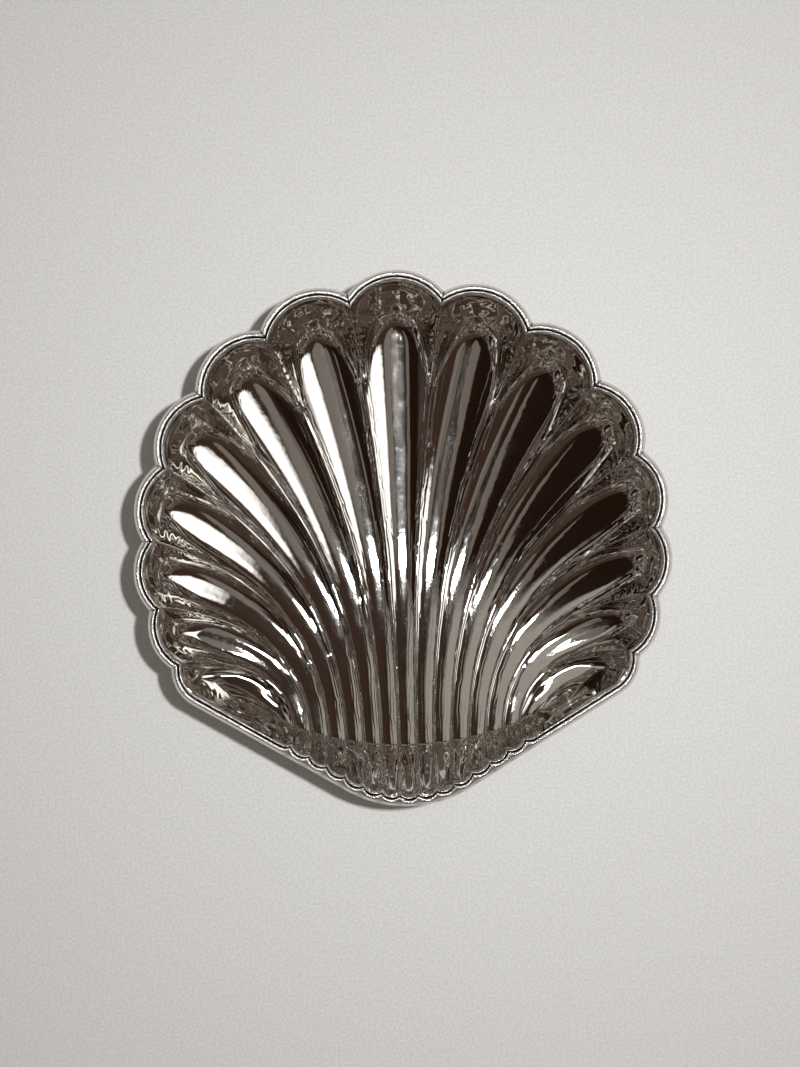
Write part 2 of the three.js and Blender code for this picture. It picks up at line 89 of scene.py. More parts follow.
def turned(vector: np.ndarray, angles: np.ndarray) -> np.ndarray:
    """One plan vector, turned anticlockwise by each of the angles in radians."""
    cos, sin = np.cos(angles), np.sin(angles)
    return np.stack([vector[0] * cos - vector[1] * sin, vector[0] * sin + vector[1] * cos], axis=-1)


def mix(low: np.ndarray | float, high: np.ndarray | float, share: np.ndarray | float) -> np.ndarray:
    """The value that lies at a share of the way from low to high."""
    return low + (high - low) * share


def smooth_step(low: float, high: float, values: np.ndarray) -> np.ndarray:
    """A soft rise from 0 at low to 1 at high."""
    share = np.clip((values - low) / (high - low), 0, 1)
    return share * share * (3 - 2 * share)


@dataclass(frozen=True)
class RidgePath:
    """A line in plan from the hinge to the rim: a cubic curve through four points, walked by its length."""

    controls: tuple[np.ndarray, np.ndarray, np.ndarray, np.ndarray]
    steps: int = 400

    def point(self, t: np.ndarray) -> np.ndarray:
        """The points at the curve's own parameter, from 0 to 1.

        Args:
            t: The parameters.

        Returns:
            The plan points.
        """
        a, b, c, d = self.controls
        t = t[:, None]
        return a * (1 - t) ** 3 + 3 * b * t * (1 - t) ** 2 + 3 * c * t * t * (1 - t) + d * t**3

    def walked(self) -> tuple[np.ndarray, np.ndarray]:
        """The curve's parameter at each step, and the length walked up to there.

        Returns:
            Two arrays, one value for each step.
        """
        t = np.linspace(0, 1, self.steps)
        leg = np.linalg.norm(np.diff(self.point(t), axis=0), axis=1)
        return t, np.concatenate([[0], np.cumsum(leg)])

    @property
    def length(self) -> float:
        """The whole length."""
        return float(self.walked()[1][-1])

    def at(self, shares: np.ndarray) -> np.ndarray:
        """The points at shares of the length."""
        t, length = self.walked()
        return self.point(np.interp(shares * length[-1], length, t))


@dataclass(frozen=True)
class ShellPlan:
    """The dish seen from above, in millimetres, with its notches on a circle about the origin.

    Places on the fan are counted in flutes from the axis: whole numbers are middles of flutes, and halves are
    ridges.
    """

    flute_count: int = 15
    notch_radius: float = 59.4
    fan_angle: float = 115.6
    lobe_narrowing: float = 0.2
    lobe_narrowing_power: float = 2.4
    front_lobe_bulge: float = 0.29
    side_lobe_bulge: float = 0.2
    ridge_turn: float = 0.77
    ridge_start_pull: float = 0.43
    ridge_end_pull: float = 0.36
    hinge_flute_pitch: float = 4.27
    hinge_flute_depth: float = 1.0
    side_edge_distance: float = 54.5
    side_edge_slope: float = 30.7
    hinge_tip_radius: float = 26.9
    corner_radius: float = 7.5
    sheet: float = 1.0
    border_width: float = 2.5

    @property
    def last_flute(self) -> int:
        """The number of the flute beside the straight edge."""
        return (self.flute_count - 1) // 2

    @property
    def last_notch(self) -> float:
        """The ridge between the last two flutes."""
        return self.last_flute - 0.5

    @property
    def side_edge(self) -> float:
        """The place of the straight edge."""
        return self.last_flute + 0.5

    def side_outward(self, side: float) -> np.ndarray:
        """The outward direction of the straight edge on a side."""
        slope = math.radians(self.side_edge_slope)
        return np.array([side * math.sin(slope), -math.cos(slope)])

    def fan_degrees(self, flute: float) -> float:
        """The turn of a place on the fan, from the axis.

        Args:
            flute: The place.

        Returns:
            The turn in degrees, negative on the left.
        """
        share = abs(flute) / self.last_notch
        narrowed = self.lobe_narrowing * share**self.lobe_narrowing_power
        return math.copysign(1, flute) * self.fan_angle * ((1 + self.lobe_narrowing) * share - narrowed)

    def notch(self, flute: float) -> np.ndarray:
        """The bowl's edge at a ridge."""
        return from_axis(self.fan_degrees(flute)) * self.notch_radius

    def bulge(self, flute: float) -> float:
        """How deep a flute is for its width, from the middle one to the sides."""
        share = min(1.0, abs(round(flute)) / (self.last_flute - 1))
        return mix(self.front_lobe_bulge, self.side_lobe_bulge, share)

    def hinge_edge(self, x: float, offset: float) -> tuple[np.ndarray, np.ndarray]:
        """The straight edges and the round tip between them, moved out by an offset.

        Args:
            x: The distance from the axis.
            offset: How far out of the bowl's edge.

        Returns:
            The point and its outward direction.
        """
        slope = math.radians(self.side_edge_slope)
        radius = self.hinge_tip_radius + offset
        centre = -(self.side_edge_distance - self.hinge_tip_radius) / math.cos(slope)
        if abs(x) < radius * math.sin(slope):
            point = np.array([x, centre - math.sqrt(radius**2 - x**2)])
            return point, unit(point - np.array([0, centre]))
        y = -(self.side_edge_distance + offset - math.sin(slope) * abs(x)) / math.cos(slope)
        return np.array([x, y]), self.side_outward(math.copysign(1, x))

    def hinge_inset(self, flute: float) -> float:
        """How far inside the hinge edge the ridges start."""
        return min(1.0, self.side_edge - abs(flute)) * self.hinge_flute_depth

    def hinge_start(self, flute: float) -> np.ndarray:
        """Where a flute's line starts at the hinge."""
        return self.hinge_edge(self.hinge_flute_pitch * flute, -self.hinge_inset(flute))[0]

    def hinge_outline(self, flute: float, middle: int, offset: float) -> np.ndarray:
        """The edge at the hinge, wavy on the inside and smooth at the border's outside.

        Args:
            flute: The place on the fan.
            middle: The flute that the place belongs to.
            offset: How far out of the bowl's inner edge.

        Returns:
            The plan point.
        """
        inset = self.hinge_inset(flute)
        start, outward = self.hinge_edge(self.hinge_flute_pitch * flute, -inset)
        across = 2 * (flute - middle)
        past_middle = abs(middle) == self.last_flute and across * middle > 0
        height = 1.0 if past_middle else float(arch(self.bulge(middle), across)[0])
        wave = inset - self.hinge_flute_depth * (1 - height)
        smoothing = min(1.0, max(0.0, (offset - self.sheet) / (self.border_width - self.sheet)))
        return start + outward * (mix(wave, inset, smoothing) + offset)

    def corner_arc(self, side: float) -> tuple[np.ndarray, float, np.ndarray]:
        """The last lobe's arc, which rounds into the straight edge: its centre, its radius and its end.

        Args:
            side: -1 on the left, 1 on the right.

        Returns:
            The centre, the radius and the end where the straight edge starts.
        """
        start = self.notch(side * self.last_notch)
        outward = self.side_outward(side)
        along = np.array([-side * abs(outward[1]), -abs(outward[0])])
        inset = self.side_edge_distance - self.corner_radius - start @ outward
        run = math.sqrt(max(0.0, self.corner_radius**2 - inset**2))
        centre = start + outward * inset + along * run
        return centre, self.corner_radius, centre + outward * self.corner_radius

    def lobe_arc(self, flute: int) -> tuple[np.ndarray, float]:
        """The centre and the radius of a lobe's arc, which stands on the chord between its notches.

        Args:
            flute: The flute's number.

        Returns:
            The centre and the radius.
        """
        if abs(flute) == self.last_flute:
            return self.corner_arc(math.copysign(1, flute))[:2]
        start, end = self.notch(flute - 0.5), self.notch(flute + 0.5)
        half = np.linalg.norm(end - start) / 2
        rise = 2 * half * self.bulge(flute)
        radius = (half**2 + rise**2) / (2 * rise)
        outward = unit(np.array([start[1] - end[1], end[0] - start[0]]))
        return (start + end) / 2 + outward * (rise - radius), radius

    def mitre(self, ridge: float, offset: float) -> np.ndarray:
        """Where two neighbouring lobes meet, both moved out by an offset.

        Args:
            ridge: The ridge between them.
            offset: How far out of the bowl's inner edge.

        Returns:
            The plan point.
        """
        left, left_radius = self.lobe_arc(round(ridge - 0.5))
        right, right_radius = self.lobe_arc(round(ridge + 0.5))
        apart = np.linalg.norm(right - left)
        along = (apart**2 + (left_radius + offset) ** 2 - (right_radius + offset) ** 2) / (2 * apart)
        out = math.sqrt(max(0.0, (left_radius + offset) ** 2 - along**2))
        direction = (right - left) / apart
        return left + direction * along + np.array([-direction[1], direction[0]]) * out

    def lobe_end(self, ridge: float, offset: float) -> np.ndarray:
        """The end of a lobe at a ridge or at the straight edge, moved out by an offset.

        Args:
            ridge: The ridge, or the place of the straight edge.
            offset: How far out of the bowl's inner edge.

        Returns:
            The plan point.
        """
        if abs(ridge) < self.side_edge:
            return self.mitre(ridge, offset)
        side = math.copysign(1, ridge)
        return self.corner_arc(side)[2] + self.side_outward(side) * offset

    def lobe_points(self, middle: int, across: np.ndarray, offset: float) -> np.ndarray:
        """Points on a lobe's outline.

        Args:
            middle: The flute's number.
            across: Where they lie, from -1 at its left ridge to 1 at its right ridge.
            offset: How far out of the bowl's inner edge.

        Returns:
            The plan points, one for each value of across.
        """
        centre = self.lobe_arc(middle)[0]
        start = self.lobe_end(middle - 0.5, offset) - centre
        end = self.lobe_end(middle + 0.5, offset) - centre
        turn = math.atan2(start[0] * end[1] - start[1] * end[0], start @ end)
        arc_share = 0.5 + np.arcsin(across * math.sin(abs(turn) / 2)) / abs(turn)
        return turned(start, turn * arc_share) + centre

    def ridge_path(self, ridge: float) -> RidgePath:
        """The line of a ridge: it starts straight up the fan and turns outward to its notch.

        Args:
            ridge: The ridge's place on the fan.

        Returns:
            Its line.
        """
        start, end = self.hinge_start(ridge), self.notch(ridge)
        reach = np.linalg.norm(end - start)
        leaving = start + np.array([0, reach * self.ridge_start_pull])
        arriving = end - from_axis(self.fan_degrees(ridge) * self.ridge_turn) * reach * self.ridge_end_pull
        return RidgePath((start, leaving, arriving, end))

    def side_path(self, side: float) -> RidgePath:
        """The line of the straight edge, from the hinge to the last lobe."""
        start, end = self.hinge_start(side * self.side_edge), self.lobe_end(side * self.side_edge, 0)
        return RidgePath((start, mix(start, end, 1 / 3), mix(start, end, 2 / 3), end))


def arch(share: float, across: float | np.ndarray) -> tuple[np.ndarray, np.ndarray]:
    """The section of a flute, an arc of a circle on its two ridges.

    Args:
        share: The arc's rise for its width.
        across: The place, -1 and 1 on the ridges and 0 in the middle.

    Returns:
        The height, 0 on the ridges and 1 in the middle, and how much steeper than flat the sheet lies there.
    """
    radius = (1 + 4 * share**2) / (4 * share)
    drop = math.sqrt(radius**2 - 1)
    rise = np.sqrt(radius**2 - np.square(across))
    slope = 2 * share * np.abs(across) / (rise * (radius - drop))
    return (rise - drop) / (radius - drop), np.sqrt(1 + slope**2)


@dataclass(frozen=True)
class Trough:
    """The section of a flute on the floor: a round bottom between two short flanks.

    Places across it run from -1 on its left ridge over 0 in its middle to 1 on its right ridge.
    """

    narrow_width: float = 5.0
    narrow_depth_share: float = 0.12
    wide_width: float = 20.0
    wide_depth_share: float = 0.19
    bottom_width: float = 11.0
    widest_bottom_share: float = 0.9
    bottom_radius: float = 12.0
    turn: float = 0.12

    def depth(self, width: np.ndarray) -> np.ndarray:
        """How deep the flute is in its middle."""
        share = smooth_step(self.narrow_width, self.wide_width, width)
        return width * mix(self.narrow_depth_share, self.wide_depth_share, share)

    def bottom_share(self, width: np.ndarray) -> np.ndarray:
        """How much of the flute's width the bottom takes."""
        return self.widest_bottom_share * self.bottom_width / np.hypot(
            self.bottom_width, self.widest_bottom_share * width
        )

    def bottom_rise(self, width: np.ndarray) -> np.ndarray:
        """How much of the depth the bottom would lose if it ran on to the ridges."""
        return width**2 / (8 * self.bottom_radius * self.depth(width))

    def steepness(self, width: np.ndarray) -> np.ndarray:
        """How much of the depth a flank gains for each step across."""
        share = self.bottom_share(width)
        return (1 - self.bottom_rise(width) * share**2) / (1 - share)

    def height(self, across: np.ndarray, width: np.ndarray) -> np.ndarray:
        """How much of its depth the flute has, 0 on the ridges and 1 in the middle.

        Args:
            across: The places across it.
            width: The flute's width.

        Returns:
            The shares of the depth.
        """
        bottom = 1 - self.bottom_rise(width) * across**2
        flank = self.steepness(width) * (1 - np.abs(across))
        return np.maximum(0, (bottom + flank - np.hypot(bottom - flank, self.turn)) / 2)

    def stretch(self, across: np.ndarray, width: np.ndarray) -> np.ndarray:
        """How much steeper than flat the sheet lies.

        Args:
            across: The places across the flute.
            width: The flute's width.

        Returns:
            The sheet's length for each step in plan.
        """
        bottom = 1 - self.bottom_rise(width) * across**2
        flank = self.steepness(width) * (1 - np.abs(across))
        flank_share = (1 + (bottom - flank) / np.hypot(bottom - flank, self.turn)) / 2
        bottom_slope = 2 * self.bottom_rise(width) * np.abs(across)
        slope = mix(bottom_slope, self.steepness(width), flank_share)
        return np.hypot(1, 2 * slope * self.depth(width) / width)


@dataclass
class Skins:
    """The bowl's surface as grids of points, in millimetres: one column for each place on the fan."""

    plan: ShellPlan = field(default_factory=ShellPlan)
    trough: Trough = field(default_factory=Trough)
    ridge_depth: float = 19.6
    floor_centre_y: float = -150.0
    deepest_from_centre: float = 156.0
    front_floor_radius: float = 250.0
    hinge_floor_radius: float = 150.0
    side_radius: float = 140.0
    front_wall_reach: float = 4.2
    ridge_wall_reach: float = 21.0
    ridge_sharpness: float = 1.5
    side_wall_reach: float = 6.0
    corner_wall_reach: float = 4.0
    hinge_crease_y: float = -48.1
    hinge_crease_radius: float = 77.0
    least_hinge_wall: float = 1.0
    front_wall_roundness: float = 3.2
    ridge_wall_roundness: float = 2.0
    side_wall_roundness: float = 2.0
    hinge_wall_roundness: float = 1.3
    hinge_depth_blend: float = 14.0
    side_wall_foot_share: float = 0.55
    trough_starts: float = 0.2
    chased_until: float = 0.8
    hinge_chased_reach: float = 16.0
    ridge_chased_width: float = 2.4
    ridge_chasing: float = 0.5
    ridge_line_density: float = 2.0
    crest_share: float = 0.1
    crest_fade: float = 2.5
    crest_at_rim: float = 0.2
    least_width: float = 0.1
    segments: int = 28
    cluster_degrees: float = 82.0
    normal_reach: int = 5
    hinge_rows: int = 22
    floor_rows: int = 48
    front_rows: int = 26

    def __post_init__(self) -> None:
        """Works out the columns and the smooth base that carries the ridges."""
        self.flutes, self.middles = self.columns()
        self.across = np.clip(2 * (self.flutes - self.middles), -1, 1)
        self.paths = {ridge: self.plan.ridge_path(ridge) for ridge in self.ridges()}
        for side in Side:
            self.paths[side.value * self.plan.side_edge] = self.plan.side_path(side.value)
        grids = [self.base_column(flute, middle) for flute, middle in zip(self.flutes, self.middles)]
        self.base = np.stack([grid[0] for grid in grids])
        self.from_hinge = np.stack([grid[1] for grid in grids])
        self.from_front = np.stack([grid[2] for grid in grids])
        self.walls = np.stack([grid[3] for grid in grids])
        self.normals = self.base_normals()
        self.on_floor = smooth_step(self.trough_starts, 1.0, self.walls)

    def ridges(self) -> list[float]:
        """The places of all ridges."""
        count = self.plan.flute_count - 1
        return [ridge - self.plan.last_notch for ridge in range(count)]

    def across_steps(self) -> np.ndarray:
        """Places across a flute, closer together beside its ridges."""
        arc = math.radians(self.cluster_degrees)
        return np.sin(np.linspace(-arc, arc, self.segments + 1)) / math.sin(arc)

    def columns(self) -> tuple[np.ndarray, np.ndarray]:
        """The place of each column on the fan, and the flute that it belongs to.

        Returns:
            Two arrays, one value for each column.
        """
        last = self.plan.last_flute
        steps = self.across_steps()
        flutes, middles = [-self.plan.side_edge], [-last]
        for middle in range(-last, last + 1):
            flutes.extend(middle + steps[1:] / 2)
            middles.extend([middle] * self.segments)
        return np.array(flutes), np.array(middles)

    def wall_share(self, reached: np.ndarray, roundness: float) -> np.ndarray:
        """How much of its depth a wall has at a share of its reach, 0 at the edge and 1 on the floor."""
        left = 1 - np.clip(reached, 0, 1)
        return (1 - left**roundness) ** (1 / roundness)

    def floor_depth(self, points: np.ndarray) -> np.ndarray:
        """The depth of the ridges away from the walls.

        Args:
            points: Places in plan.

        Returns:
            The depth at each.
        """
        from_centre = np.linalg.norm(points - np.array([0, self.floor_centre_y]), axis=-1)
        from_deepest = from_centre - self.deepest_from_centre
        radius = np.where(from_deepest > 0, self.front_floor_radius, self.hinge_floor_radius)
        along_fan = from_deepest**2 / (2 * radius)
        to_sides = points[..., 0] ** 2 / (2 * self.side_radius)
        return self.ridge_depth - along_fan - to_sides

    def hinge_wall_reach(self, flute: float) -> float:
        """How far the hinge wall runs in plan before it turns into the floor.

        Args:
            flute: The place on the fan.

        Returns:
            The reach.
        """
        x, y = self.plan.hinge_start(flute)
        drop = math.sqrt(self.hinge_crease_radius**2 - x**2)
        crease = self.hinge_crease_y + self.hinge_crease_radius - drop
        easing = max(0.0, abs(flute) - self.plan.last_notch) * self.corner_wall_reach
        return max(self.least_hinge_wall, crease - y) + easing

    def turn_steps(self, rows: int, roundness: float) -> np.ndarray:
        """Shares of a wall's reach, closer together where it turns."""
        return 1 - np.cos(np.linspace(0, math.pi / 2, rows + 1)) ** (2 / roundness)

    def base_column(self, flute: float, middle: int) -> tuple[np.ndarray, ...]:
        """One line of the smooth base from the hinge to the rim.

        Args:
            flute: The place on the fan.
            middle: The flute that it belongs to.

        Returns:
            Its points, the distance of each from the hinge edge and from the rim, and the wall's share there.
        """
        plan = self.plan
        side = math.copysign(1, flute)
        beyond = abs(flute) - plan.last_notch
        if beyond > 0:
            near = self.paths[side * plan.last_notch]
            far = self.paths[side * plan.side_edge]
            share = beyond
        else:
            near = self.paths[max(middle - 0.5, -plan.last_notch)]
            far = self.paths[min(middle + 0.5, plan.last_notch)]
            share = min(1.0, max(0.0, flute - middle + 0.5))
        length = mix(near.length, far.length, share)
        to_ridge = min(1.0, abs(2 * (flute - middle))) ** self.ridge_sharpness
        front_reach = mix(self.front_wall_reach, self.ridge_wall_reach, to_ridge)
        roundness = mix(self.front_wall_roundness, self.ridge_wall_roundness, to_ridge)
        hinge_reach = self.hinge_wall_reach(flute)
        hinge_wall = self.turn_steps(self.hinge_rows, self.hinge_wall_roundness) * hinge_reach
        front_wall = length - self.turn_steps(self.front_rows, roundness) * front_reach
        floor = np.linspace(hinge_wall[-1], front_wall[-1], self.floor_rows + 1)[1:-1]
        distances = np.concatenate([hinge_wall, floor, front_wall[::-1]])
        shares = np.clip(distances / length, 0, 1)
        near_points, far_points = near.at(shares), far.at(shares)
        points = mix(near_points, far_points, share)
        front = self.wall_share((length - distances) / front_reach, roundness)
        hinge = self.wall_share(distances / hinge_reach, self.hinge_wall_roundness)
        depth = self.floor_depth(points) * front * hinge
        if beyond > 0:
            gap = (1 - beyond) * np.linalg.norm(far_points - near_points, axis=-1)
            depth = depth * self.wall_share(gap / self.side_wall_reach, self.side_wall_roundness)
        return np.column_stack([points, -depth]), distances, length - distances, np.minimum(front, hinge)

    def base_normals(self) -> np.ndarray:
        """The outward normals of the base, from neighbouring points.

        Returns:
            One unit vector for each point.
        """
        columns, rows = np.arange(self.base.shape[0]), np.arange(self.base.shape[1])
        right = np.minimum(columns + self.normal_reach, columns[-1])
        left = np.maximum(columns - self.normal_reach, 0)
        ahead, behind = np.minimum(rows + 1, rows[-1]), np.maximum(rows - 1, 0)
        across = self.base[right] - self.base[left]
        along = self.base[:, ahead] - self.base[:, behind]
        return unit(np.cross(along, across))

    def widths(self) -> np.ndarray:
        """How far apart in plan the ridges of each column's flute are, row by row.

        Returns:
            The widths by column and row.
        """
        starts = (self.middles + self.plan.last_flute) * self.segments
        apart = self.base[starts + self.segments] - self.base[starts]
        return np.linalg.norm(apart[..., :2], axis=-1)

    def rounded_crest(self, press: np.ndarray, depth: np.ndarray) -> np.ndarray:
        """Rounds the ridge between two flutes with a small radius, which fades out at both rims.

        Args:
            press: How far each point is pressed out of the base.
            depth: How deep each flute is in its middle.

        Returns:
            The new amounts of press.
        """
        half_width = np.maximum(self.widths() / 2, self.least_width)
        edge_angle = np.arctan(depth * self.trough.steepness(2 * half_width) / half_width)
        fade = smooth_step(0, self.crest_fade, np.minimum(self.from_front, self.from_hinge))
        radius = half_width * self.crest_share * mix(self.crest_at_rim, 1, fade)
        from_crest = (1 - np.abs(self.across))[:, None] * half_width
        within = from_crest < radius * np.sin(edge_angle)
        arc = radius / np.cos(edge_angle) - np.sqrt(np.maximum(0, radius**2 - from_crest**2))
        return np.where(within, np.maximum(arc, press), press)

    def pressed(self) -> np.ndarray:
        """The vectors by which the flutes are pressed out of the base.

        Returns:
            One vector for each point.
        """
        plan = self.plan
        share = np.array([plan.bulge(middle) for middle in self.middles])[:, None]
        last = np.abs(self.middles) == plan.last_flute
        at_hinge = 1 - smooth_step(0, self.hinge_depth_blend, self.from_hinge)
        widths = np.maximum(self.widths(), self.least_width)
        full_depth = mix(widths * share, self.trough.depth(widths), self.on_floor)
        depth = mix(full_depth, plan.hinge_flute_depth, at_hinge)
        arc_height = np.array([arch(s[0], a)[0] for s, a in zip(share, self.across)])[:, None]
        trough_height = self.trough.height(self.across[:, None], widths)
        height = mix(arc_height, trough_height, self.on_floor)
        press = self.rounded_crest(depth * height, depth)
        vectors = self.normals * press[..., None]
        for column in np.flatnonzero(last & (self.across * self.middles > 0)):
            wall = np.append(plan.side_outward(math.copysign(1, self.flutes[column])), 0)
            normal = self.normals[column]
            within = normal - (normal @ wall)[:, None] * wall
            kept = mix(1, self.side_wall_foot_share, self.across[column] ** 2)
            vectors[column] = within * (depth[column] * kept)[:, None]
        return vectors

    def marks(self) -> np.ndarray:
        """How far each point is hand chased, and the place that its chased lines are counted by.

        Returns:
            For each column and row the share, the place in millimetres and 0.
        """
        on_wall = 1 - smooth_step(self.chased_until, 1.0, self.walls)
        from_ridge = (1 - np.abs(self.across))[:, None] * self.widths() / 2
        fading = smooth_step(self.ridge_chased_width / 3, self.ridge_chased_width, from_ridge)
        beside_ridge = self.ridge_chasing * (1 - fading)
        at_hinge = self.from_hinge < self.hinge_chased_reach
        along_hinge = np.broadcast_to((self.flutes * self.plan.hinge_flute_pitch)[:, None], on_wall.shape)
        wall_place = np.where(at_hinge, along_hinge, self.from_front)
        place = np.where(on_wall > beside_ridge, wall_place, from_ridge * self.ridge_line_density)
        return np.stack([np.maximum(on_wall, beside_ridge), place, np.zeros_like(place)], axis=-1)

    def skin(self, thickness: float) -> np.ndarray:
        """The grid of a face of the sheet.

        Args:
            thickness: How far below the inner face.

        Returns:
            Its points by column and row, with both edges at z = 0.
        """
        plan = self.plan
        arc = np.array([arch(plan.bulge(m), a)[1] for m, a in zip(self.middles, self.across)])[:, None]
        widths = np.maximum(self.widths(), self.least_width)
        stretch = mix(arc, self.trough.stretch(self.across[:, None], widths), self.on_floor)
        grid = self.base + self.pressed() + self.normals * (thickness * stretch)[..., None]
        for column, (flute, middle) in enumerate(zip(self.flutes, self.middles)):
            if abs(flute) == plan.side_edge:
                outward = plan.side_outward(math.copysign(1, flute)) * thickness
                grid[column] = self.base[column] + np.append(outward, 0)
            grid[column, 0] = [*plan.hinge_outline(flute, middle, thickness), 0]
            grid[column, -1] = [*plan.lobe_points(middle, self.across[column], thickness), 0]
        return grid


@dataclass(frozen=True)
class Placement:
    """Moves the drawn dish, whose edge is at z = 0, to its place in the frame, in metres."""

    shift_y: float
    edge_height: float

    @classmethod
    def from_frame(cls, plan: ShellPlan) -> "Placement":
        """Reads the height of the bowl's edge from the frame and centres the plan in it.

        Args:
            plan: The dish seen from above.

        Returns:
            The placement.
        """
        front = plan.lobe_points(0, np.array([0.0]), plan.border_width)[0][1]
        back = plan.hinge_outline(0, 0, plan.border_width)[1]
        return cls(-(front + back) / 2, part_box("lobe_border_middle")[0].z / MM)

    def __call__(self, points: np.ndarray) -> np.ndarray:
        """The points in the frame."""
        return (points + np.array([0, self.shift_y, self.edge_height])) * MM


class NodeTree:
    """A small helper that writes shader nodes."""

    def __init__(self, tree: bpy.types.NodeTree) -> None:
        """Starts from an empty tree."""
        self.tree = tree
        tree.nodes.clear()

    def fill(self, socket: Socket, value: object) -> None:
        """Links a socket from another one, or sets its value."""
        if isinstance(value, Socket):
            self.tree.links.new(value, socket)
        else:
            socket.default_value = value

    def add(
        self, kind: str, inputs: dict[str | int, object] | None = None, **options: object
    ) -> bpy.types.Node:
        """Adds a node.

        Args:
            kind: Its type, without the leading ShaderNode.
            inputs: A value, or a socket to link from, for each named or numbered input.
            **options: Its own settings.

        Returns:
            The node.
        """
        node = self.tree.nodes.new("ShaderNode" + kind)
        for name, value in options.items():
            setattr(node, name, value)
        for name, value in (inputs or {}).items():
            self.fill(node.inputs[name], value)
        return node

    def math(self, operation: str, first: object, second: object = 0.0, third: object = 0.0) -> Socket:
        """A sum of numbers or sockets, with its operation named as Blender names it."""
        return self.add("Math", {0: first, 1: second, 2: third}, operation=operation).outputs[0]

    def vector(self, operation: str, *values: object) -> bpy.types.NodeOutputs:
        """A sum of vectors, with its operation named as Blender names it."""
        return self.add("VectorMath", dict(enumerate(values)), operation=operation).outputs

    def noise(self, place: Socket, scale: float, detail: float, **more: float) -> bpy.types.NodeOutputs:
        """Noise at a place."""
        return self.add("TexNoise", {"Vector": place, "Scale": scale, "Detail": detail, **more}).outputs

    def bump(self, height: Socket, strength: object, distance: float, **more: Socket) -> Socket:
        """A normal that is bent by a height."""
        inputs = {"Height": height, "Strength": strength, "Distance": distance, **more}
        return self.add("Bump", inputs).outputs["Normal"]

    def marks(self, kind: Mark) -> bpy.types.NodeOutputs:
        """The three numbers that a mesh gives its finish, as X, Y and Z."""
        mark = self.add("Attribute", attribute_name=kind.value)
        return self.add("SeparateXYZ", {"Vector": mark.outputs["Vector"]}).outputs

    def ramp(self, value: Socket, low: float, high: float) -> Socket:
        """Maps a range of values softly to 0 to 1 and clamps it."""
        inputs = {"Value": value, "From Min": low, "From Max": high}
        return self.add("MapRange", inputs, interpolation_type="SMOOTHSTEP").outputs["Result"]

    def blend(self, share: object, low: object, high: object) -> Socket:
        """Mixes two colours."""
        return self.add("Mix", {0: share, 6: low, 7: high}, data_type="RGBA").outputs[2]


def new_material(name: str) -> tuple[bpy.types.Material, NodeTree]:
    """An empty material, and the helper that writes its nodes."""
    material = bpy.data.materials.new(name)
    material.use_nodes = True
    return material, NodeTree(material.node_tree)


def linear(hex_colour: str) -> tuple[float, float, float, float]:
    """A colour in linear light, with full alpha.

    Args:
        hex_colour: Its sRGB value as six hexadecimal digits.

    Returns:
        Its red, green, blue and alpha.
    """
    values = [int(hex_colour[place:place + 2], 16) / 255 for place in (0, 2, 4)]
    red, green, blue = (v / 12.92 if v <= 0.04045 else ((v + 0.055) / 1.055) ** 2.4 for v in values)
    return red, green, blue, 1.0


@dataclass(frozen=True)
class Silver:
    """Polished silver with fine handling scratches."""

    name: str
    colour: tuple[float, float, float]
    roughness: float
    scratch_roughness: float
    ripple: float
    haze_scale: float = 260.0
    haze_range: tuple[float, float] = (0.3, 0.7)
    haze_dulling: float = 0.93
    scratch_scale: float = 4200.0
    scratch_range: tuple[float, float] = (0.5, 0.75)
    ripple_scale: float = 240.0
    ripple_height: float = 0.0002

    def material(self) -> bpy.types.Material:
        """The finish as a material."""
        material, tree = new_material(self.name)
        place = tree.add("TexCoord").outputs["Object"]
        haze = tree.noise(place, self.haze_scale, 6.0, Roughness=0.65)
        scratches = tree.noise(place, self.scratch_scale, 2.0)
        marks = tree.ramp(scratches["Fac"], *self.scratch_range)
        cloud = tree.ramp(haze["Fac"], *self.haze_range)
        worn = tree.math("MULTIPLY", marks, cloud)
        roughness = tree.math("MULTIPLY_ADD", worn, self.scratch_roughness, self.roughness)
        dull = tuple(value * self.haze_dulling for value in self.colour) + (1.0,)
        colour = self.tinted(tree, tree.blend(cloud, (*self.colour, 1.0), dull))
        ripple = tree.noise(place, self.ripple_scale, 2.0)
        rippled = tree.bump(ripple["Fac"], self.ripple, self.ripple_height)
        normal = self.worked(tree, place, rippled)
        shader = tree.add("BsdfPrincipled", {
            "Base Color": colour, "Metallic": 1.0, "Roughness": roughness, "Normal": normal})
        tree.add("OutputMaterial", {"Surface": shader.outputs["BSDF"]})
        return material

    def tinted(self, tree: NodeTree, colour: Socket) -> Socket:
        """The colour with the finish's own stains, here none."""
        return colour

    def worked(self, tree: NodeTree, place: Socket, normal: Socket) -> Socket:
        """The normal with the finish's own tool marks, here none."""
        return normal


@dataclass(frozen=True)
class ChasedSilver(Silver):
    """Polished sheet whose walls keep the wavy lines of the chasing tools."""

    line_pitch: float = 1.5
    line_depth: float = 0.000025
    curl: float = 12.0
    curl_scale: float = 130.0
    curl_distortion: float = 0.8

    def worked(self, tree: NodeTree, place: Socket, normal: Socket) -> Socket:
        """The normal with the chased lines, which curl and come and go.

        Args:
            tree: The material's nodes.
            place: The place on the object.
            normal: The normal without the lines.

        Returns:
            The bent normal.
        """
        parts = tree.marks(Mark.SHEET)
        noise = tree.noise(place, self.curl_scale, 1.0, Distortion=self.curl_distortion)
        bent = tree.math("MULTIPLY", noise["Fac"], self.curl)
        phase = tree.math("MULTIPLY_ADD", parts["Y"], 2 * math.pi / self.line_pitch, bent)
        wave = tree.math("SINE", phase)
        return tree.bump(wave, parts["X"], self.line_depth, Normal=normal)


